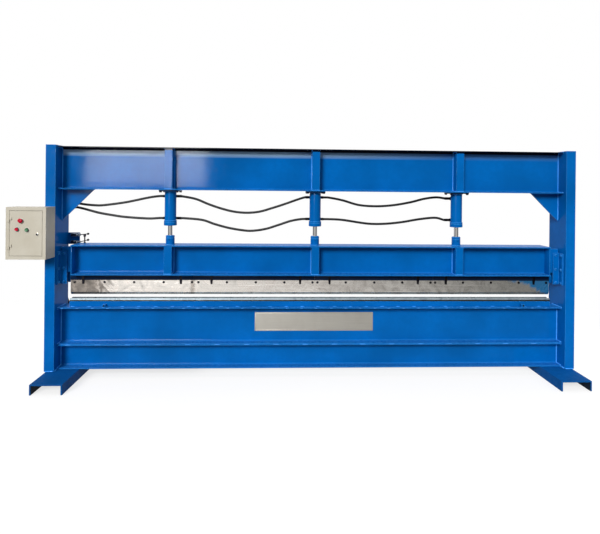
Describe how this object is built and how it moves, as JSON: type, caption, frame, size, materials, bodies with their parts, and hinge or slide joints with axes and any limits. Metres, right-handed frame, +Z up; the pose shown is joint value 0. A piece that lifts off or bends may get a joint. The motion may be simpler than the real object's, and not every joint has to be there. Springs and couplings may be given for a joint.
{
  "type": "press brake",
  "caption": "Welded steel press brake: a long blade on a hydraulic moving beam over a grooved die, between channel posts on channel feet, with a control box and black hoses.",
  "frame": {"origin": "on the floor, at the middle of the machine's plan, control box and feet included", "axes": "+Z up, +X to the right along the beams as seen from the front, -Y towards the operator"},
  "size_m": [4.538, 0.77, 1.8851],
  "materials": {
    "blue_enamel": "glossy sprayed enamel",
    "cream_enamel": "satin powder coat",
    "grey_enamel": "satin enamel",
    "tool_steel": "ground, lightly stained",
    "bright_steel": "turned or plated",
    "chrome": "hard chrome, polished",
    "nameplate": "brushed, blank",
    "black_plastic": "moulded",
    "black_rubber": "smooth hose cover",
    "red_plastic": "moulded",
    "green_plastic": "moulded"
  },
  "bodies": {
    "frame": {"left_foot": "blue_enamel", "right_foot": "blue_enamel", "left_post": "blue_enamel", "right_post": "blue_enamel", "gusset_left": "blue_enamel", "gusset_right": "blue_enamel", "bed_lower_beam": "blue_enamel", "bed_upper_beam": "blue_enamel", "top_beam": "blue_enamel", "die_holder_bar": "blue_enamel", "lower_die": "tool_steel", "guide_left_front": "blue_enamel", "guide_left_rear": "blue_enamel", "guide_right_front": "blue_enamel", "guide_right_rear": "blue_enamel", "cylinder_left": "blue_enamel", "cylinder_middle": "blue_enamel", "cylinder_right": "blue_enamel", "control_box": "cream_enamel", "limit_switch_bracket": "blue_enamel", "limit_switch_upper": "black_plastic", "limit_switch_lower": "black_plastic", "power_unit_shelf": "blue_enamel", "oil_tank": "blue_enamel", "valve_block": "bright_steel", "electric_motor": "grey_enamel", "gear_pump": "bright_steel", "nameplate": "nameplate", "hose_feed_upper": "black_rubber", "hose_feed_lower": "black_rubber", "hose_first_upper": "black_rubber", "hose_first_lower": "black_rubber", "hose_second_upper": "black_rubber", "hose_second_lower": "black_rubber"},
    "ram": {"moving_beam": "blue_enamel", "slide_shoe_left": "blue_enamel", "slide_shoe_right": "blue_enamel", "blade_segment_1": "tool_steel", "blade_segment_2": "tool_steel", "blade_segment_3": "tool_steel", "blade_segment_4": "tool_steel", "piston_rod_left": "chrome", "piston_rod_middle": "chrome", "piston_rod_right": "chrome", "trip_rod": "bright_steel"},
    "door": {"control_box_door": "cream_enamel", "door_lock": "bright_steel"},
    "stop_knob": {"stop_button": "red_plastic"},
    "red_knob": {"red_button": "red_plastic"},
    "green_knob": {"green_button": "green_plastic"}
  },
  "joints": [
    {"name": "ram_slide", "type": "slide", "parent": "frame", "child": "ram", "axis": [0, 0, 1], "range_m": [-0.035, 0.07]},
    {"name": "door_hinge", "type": "hinge", "parent": "frame", "child": "door", "pos_m": [-2.24175, -0.2796, 1.191], "axis": [0, 0, -1], "range_deg": [0, 110]},
    {"name": "stop_press", "type": "slide", "parent": "door", "child": "stop_knob", "axis": [0, 1, 0], "range_m": [0, 0.004], "stiffness_N_per_m": 500, "springref_m": -0.002},
    {"name": "red_press", "type": "slide", "parent": "door", "child": "red_knob", "axis": [0, 1, 0], "range_m": [0, 0.004], "stiffness_N_per_m": 500, "springref_m": -0.002},
    {"name": "green_press", "type": "slide", "parent": "door", "child": "green_knob", "axis": [0, 1, 0], "range_m": [0, 0.004], "stiffness_N_per_m": 500, "springref_m": -0.002}
  ]
}
